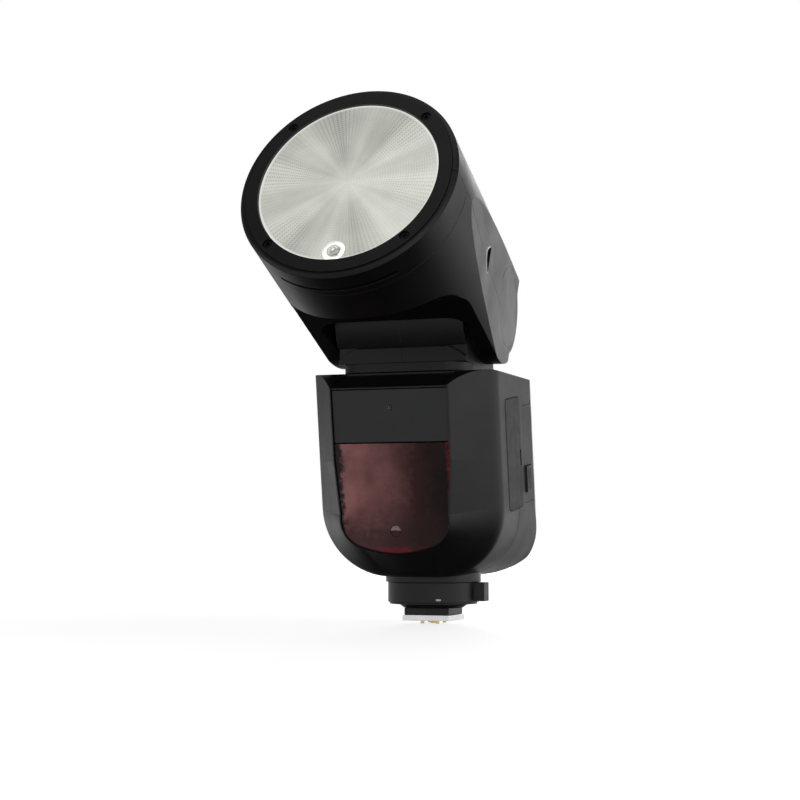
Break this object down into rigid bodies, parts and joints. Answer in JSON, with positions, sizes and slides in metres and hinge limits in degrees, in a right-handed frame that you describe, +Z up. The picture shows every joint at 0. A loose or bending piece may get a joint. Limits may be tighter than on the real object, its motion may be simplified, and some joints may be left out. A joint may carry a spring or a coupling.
{
  "type": "speedlight flash",
  "caption": "Camera-top speedlight with a round zoom head that tilts and swivels on a leaning battery body with a locking shoe foot.",
  "frame": {"origin": "centre of the foot plate's bottom face", "axes": "+Z up out of the shoe, -Y towards the front of the flash, +X on the side of the battery and the port cover"},
  "size_m": [0.076, 0.1387, 0.1821],
  "materials": {
    "shell_black": "fine grained",
    "panel_black": "satin",
    "ring_black": "matte",
    "rubber_black": "matte",
    "window_red": "deep red translucent",
    "lens_clear": "fresnel grooves",
    "dome_clear": "clear",
    "sensor_dark": "dark red",
    "display_glass": "smoked",
    "display_face": "satin",
    "foot_metal": "bright",
    "screw_black": "blackened",
    "steel": "turned",
    "contact_gold": "plated",
    "reflector_bright": "mirror bright",
    "heat_sink": "anodised",
    "board_green": "solder mask",
    "tube_glass": "clear",
    "capacitor_sleeve": "heat shrink",
    "frame_plastic": "moulded",
    "battery_black": "grained",
    "key_grey": "satin"
  },
  "bodies": {
    "housing": {"front_shell": "shell_black", "rear_shell": "shell_black", "front_panel": "panel_black", "panel_indicator": "dome_clear", "sensor_window": "window_red", "optical_sensor": "sensor_dark", "assist_lamp": "frame_plastic", "battery_bay": "shell_black", "battery_contacts": "contact_gold", "port_sockets": "steel", "main_board": "board_green", "flash_capacitor": "capacitor_sleeve", "shell_screws": "steel", "lcd_window": "display_glass", "lcd_module": "display_face", "control_board": "board_green", "shoe_block": "shell_black", "shoe_base": "shell_black", "foot_plate": "foot_metal", "shoe_screws": "steel"},
    "neck": {"swivel_plate": "shell_black", "swivel_retainer": "steel", "yoke_left": "shell_black", "yoke_right": "shell_black"},
    "head": {"head_upper_shell": "shell_black", "head_lower_shell": "shell_black", "front_bezel": "shell_black", "front_ring": "ring_black", "ring_magnets": "steel", "ring_screws": "screw_black", "fresnel_lens": "lens_clear", "lamp_dome": "dome_clear", "modelling_lamp": "frame_plastic", "lamp_heat_sink": "heat_sink", "guide_rods": "steel", "zoom_motor": "steel", "tilt_shaft_left": "steel", "tilt_shaft_right": "steel", "hub_cap_left": "shell_black", "hub_cap_right": "shell_black"},
    "zoom_unit": {"zoom_carriage": "frame_plastic", "reflector": "reflector_bright", "flash_tube": "tube_glass"},
    "zoom_screw": {"lead_screw": "steel"},
    "lock_ring": {"lock_ring": "shell_black"},
    "lock_pin": {"lock_pin": "steel"},
    "contacts": {"contact_pins": "contact_gold"},
    "battery": {"battery": "battery_black"},
    "battery_latch": {"battery_latch": "key_grey"},
    "port_cover": {"port_cover": "rubber_black"},
    "dial": {"select_dial": "key_grey"},
    "set_button": {"set_button": "key_grey"},
    "mode_button": {"mode_button": "key_grey"},
    "lock_button": {"lock_button": "key_grey"},
    "test_button": {"test_button": "key_grey"},
    "power_switch": {"power_switch": "key_grey"},
    "function_key_1": {"function_key_1": "key_grey"},
    "function_key_2": {"function_key_2": "key_grey"},
    "function_key_3": {"function_key_3": "key_grey"},
    "function_key_4": {"function_key_4": "key_grey"}
  },
  "joints": [
    {"name": "head_swivel", "type": "hinge", "parent": "housing", "child": "neck", "pos_m": [0, -0.007, 0.0883], "axis": [0, 0, 1], "range_deg": [-150, 180]},
    {"name": "head_tilt", "type": "hinge", "parent": "neck", "child": "head", "pos_m": [0, -0.007, 0.1134], "axis": [-1, 0, 0], "range_deg": [-25.8, 94.2], "stiffness_Nm_per_rad": 0.05, "springref_deg": 77.81},
    {"name": "zoom_slide", "type": "slide", "parent": "head", "child": "zoom_unit", "axis": [0, -0.9003, 0.4352], "range_m": [0, 0.014]},
    {"name": "zoom_screw_spin", "type": "hinge", "parent": "head", "child": "zoom_screw", "pos_m": [0, -0.05105, 0.16013], "axis": [0, -0.9003, 0.4352], "range_deg": [0, 845]},
    {"name": "shoe_lock", "type": "hinge", "parent": "housing", "child": "lock_ring", "pos_m": [0, 0, 0.01], "axis": [0, 0, 1], "range_deg": [0, 60]},
    {"name": "lock_pin_slide", "type": "slide", "parent": "housing", "child": "lock_pin", "axis": [0, 0, -1], "range_m": [0, 0.0021]},
    {"name": "contact_press", "type": "slide", "parent": "housing", "child": "contacts", "axis": [0, 0, 1], "range_m": [0, 0.0008], "stiffness_N_per_m": 400},
    {"name": "battery_slide", "type": "slide", "parent": "housing", "child": "battery", "axis": [1, 0, 0], "range_m": [0, 0.058]},
    {"name": "battery_latch_slide", "type": "slide", "parent": "battery", "child": "battery_latch", "axis": [0, 0.9898, 0.1426], "range_m": [0, 0.002], "stiffness_N_per_m": 150},
    {"name": "port_cover_hinge", "type": "hinge", "parent": "housing", "child": "port_cover", "pos_m": [0.0344, -0.01932, 0.05895], "axis": [0, 0.1426, -0.9898], "range_deg": [0, 110]},
    {"name": "dial_turn", "type": "hinge", "parent": "housing", "child": "dial", "pos_m": [0, 0.03268, 0.03532], "axis": [0, 0.9898, 0.1426], "continuous": true},
    {"name": "set_press", "type": "slide", "parent": "housing", "child": "set_button", "axis": [0, -0.9898, -0.1426], "range_m": [0, 0.0005], "stiffness_N_per_m": 300},
    {"name": "mode_press", "type": "slide", "parent": "housing", "child": "mode_button", "axis": [0, -0.9898, -0.1426], "range_m": [0, 0.0005], "stiffness_N_per_m": 300},
    {"name": "lock_press", "type": "slide", "parent": "housing", "child": "lock_button", "axis": [0, -0.9898, -0.1426], "range_m": [0, 0.0005], "stiffness_N_per_m": 300},
    {"name": "test_press", "type": "slide", "parent": "housing", "child": "test_button", "axis": [0, -0.9898, -0.1426], "range_m": [0, 0.0005], "stiffness_N_per_m": 300},
    {"name": "key_1_press", "type": "slide", "parent": "housing", "child": "function_key_1", "axis": [0, -0.9898, -0.1426], "range_m": [0, 0.0005], "stiffness_N_per_m": 300},
    {"name": "key_2_press", "type": "slide", "parent": "housing", "child": "function_key_2", "axis": [0, -0.9898, -0.1426], "range_m": [0, 0.0005], "stiffness_N_per_m": 300},
    {"name": "key_3_press", "type": "slide", "parent": "housing", "child": "function_key_3", "axis": [0, -0.9898, -0.1426], "range_m": [0, 0.0005], "stiffness_N_per_m": 300},
    {"name": "key_4_press", "type": "slide", "parent": "housing", "child": "function_key_4", "axis": [0, -0.9898, -0.1426], "range_m": [0, 0.0005], "stiffness_N_per_m": 300},
    {"name": "power_slide", "type": "slide", "parent": "housing", "child": "power_switch", "axis": [0, -0.1426, 0.9898], "range_m": [0, 0.004]}
  ],
  "couplings": [
    {"joint": "zoom_screw_spin", "follows": "zoom_slide", "rad_per_m": 1047.2},
    {"joint": "lock_pin_slide", "follows": "shoe_lock", "m_per_rad": 0.00191}
  ]
}
